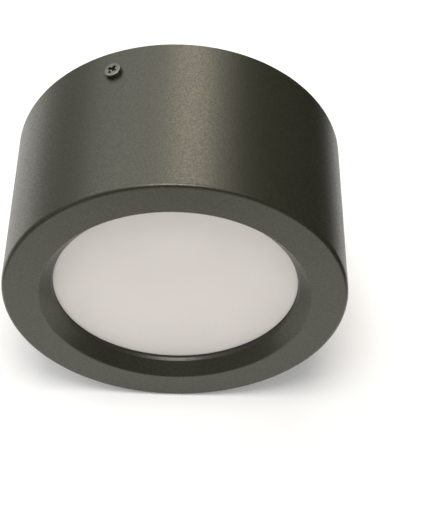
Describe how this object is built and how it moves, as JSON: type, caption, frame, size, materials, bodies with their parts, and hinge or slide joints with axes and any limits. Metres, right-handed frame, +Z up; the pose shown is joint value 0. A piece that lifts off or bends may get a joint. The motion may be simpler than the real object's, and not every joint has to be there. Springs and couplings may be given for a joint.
{
  "type": "surface-mounted downlight",
  "caption": "Round black can light for a ceiling or porch: flat face ring, conical reveal, recessed opal diffuser, and a strap that the can clamps to with side screws.",
  "frame": {"origin": "centre of the ceiling face: the top of the strap's web and the can's rear rim", "axes": "+Z up into the ceiling along the can's axis, -Y towards the side screw that the picture shows"},
  "size_m": [0.12, 0.1234, 0.065],
  "materials": {
    "black_coat": "fine-texture satin black powder coat on die-cast aluminium",
    "opal": "opal diffusing acrylic, satin",
    "black_rubber": "black silicone rubber",
    "white_plastic": "white moulded plastic",
    "white_board": "metal-core board with white solder resist",
    "led_package": "white package with yellow phosphor",
    "grey_pad": "grey heat-conducting pad",
    "bare_aluminium": "mill-finish sheet",
    "zinc_steel": "zinc-plated steel",
    "dark_steel": "black zinc-plated steel",
    "driver_plastic": "light grey moulded plastic",
    "green_board": "green printed board",
    "ferrite": "dark ferrite with taped winding",
    "black_sleeve": "sleeved aluminium can",
    "terminal_plastic": "natural nylon",
    "brass": "plain brass",
    "brown_sleeve": "brown lead sleeve",
    "blue_sleeve": "blue lead sleeve",
    "green_yellow_sleeve": "green and yellow lead sleeve",
    "red_sleeve": "red lead sleeve",
    "black_sleeving": "black lead sleeve"
  },
  "bodies": {
    "strap": {"mounting_strap": "zinc_steel", "cable_bush": "black_rubber"},
    "lamp": {"housing": "black_coat", "diffuser": "opal", "diffuser_gasket": "black_rubber", "reflector": "white_plastic", "led_board": "white_board", "leds": "led_package", "thermal_pad": "grey_pad", "heat_plate": "bare_aluminium", "plate_screws": "zinc_steel", "board_screws": "zinc_steel", "lead_grommet": "black_rubber", "driver_base": "driver_plastic", "driver_cover": "driver_plastic", "driver_board": "green_board", "driver_transformer": "ferrite", "driver_capacitors": "black_sleeve", "driver_inductor": "ferrite", "driver_screws": "zinc_steel", "terminal_block": "terminal_plastic", "terminal_clamps": "brass", "terminal_screws": "zinc_steel", "terminal_block_screws": "zinc_steel", "earth_tag": "zinc_steel", "earth_screw": "zinc_steel", "earth_lead": "green_yellow_sleeve", "live_lead": "brown_sleeve", "neutral_lead": "blue_sleeve", "led_lead_positive": "red_sleeve", "led_lead_negative": "black_sleeving", "nut_plates": "zinc_steel"},
    "front_seal": {"front_screw_seal": "black_rubber"},
    "front_screw": {"front_side_screw": "dark_steel"},
    "rear_seal": {"rear_screw_seal": "black_rubber"},
    "rear_screw": {"rear_side_screw": "dark_steel"}
  },
  "joints": [
    {"name": "housing_drop", "type": "slide", "parent": "strap", "child": "lamp", "axis": [0, 0, -1], "range_m": [0, 0.02]},
    {"name": "front_screw_back_out", "type": "slide", "parent": "lamp", "child": "front_seal", "axis": [0, -1, 0], "range_m": [0, 0.004]},
    {"name": "front_screw_turn", "type": "hinge", "parent": "front_seal", "child": "front_screw", "pos_m": [0, -0.0604, -0.0104], "axis": [0, -1, 0], "range_deg": [0, 2880]},
    {"name": "rear_screw_back_out", "type": "slide", "parent": "lamp", "child": "rear_seal", "axis": [0, 1, 0], "range_m": [0, 0.004]},
    {"name": "rear_screw_turn", "type": "hinge", "parent": "rear_seal", "child": "rear_screw", "pos_m": [0, 0.0604, -0.0104], "axis": [0, 1, 0], "range_deg": [0, 2880]}
  ],
  "couplings": [
    {"joint": "front_screw_turn", "follows": "front_screw_back_out", "rad_per_m": 12566},
    {"joint": "rear_screw_turn", "follows": "rear_screw_back_out", "rad_per_m": 12566}
  ]
}
